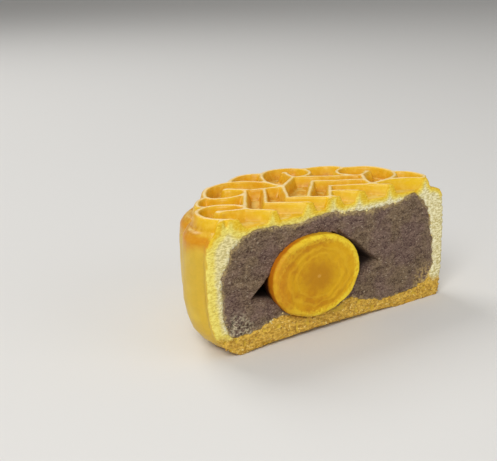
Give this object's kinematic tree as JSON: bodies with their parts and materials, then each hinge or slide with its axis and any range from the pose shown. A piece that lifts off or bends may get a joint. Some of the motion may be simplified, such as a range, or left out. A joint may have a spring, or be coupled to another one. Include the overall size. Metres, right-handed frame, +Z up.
{
  "type": "lotus seed mooncake half",
  "caption": "Half of a round moulded mooncake: lobed golden crust with a raised fret and scroll pattern, dark seed paste and a salted egg yolk showing in the cut.",
  "frame": {"origin": "middle of the half's outline at the height of its flat base", "axes": "+X along the cut, +Y from the cut face towards the round back, +Z up"},
  "size_m": [0.0754, 0.0408, 0.034],
  "materials": {
    "crust": "baked and glazed golden pastry, pale at the cut",
    "filling": "fine-grained dark paste, matt",
    "yolk": "salted egg yolk, slightly oily"
  },
  "bodies": {
    "root": {"crust": "crust", "filling": "filling", "yolk": "yolk"}
  },
  "joints": []
}
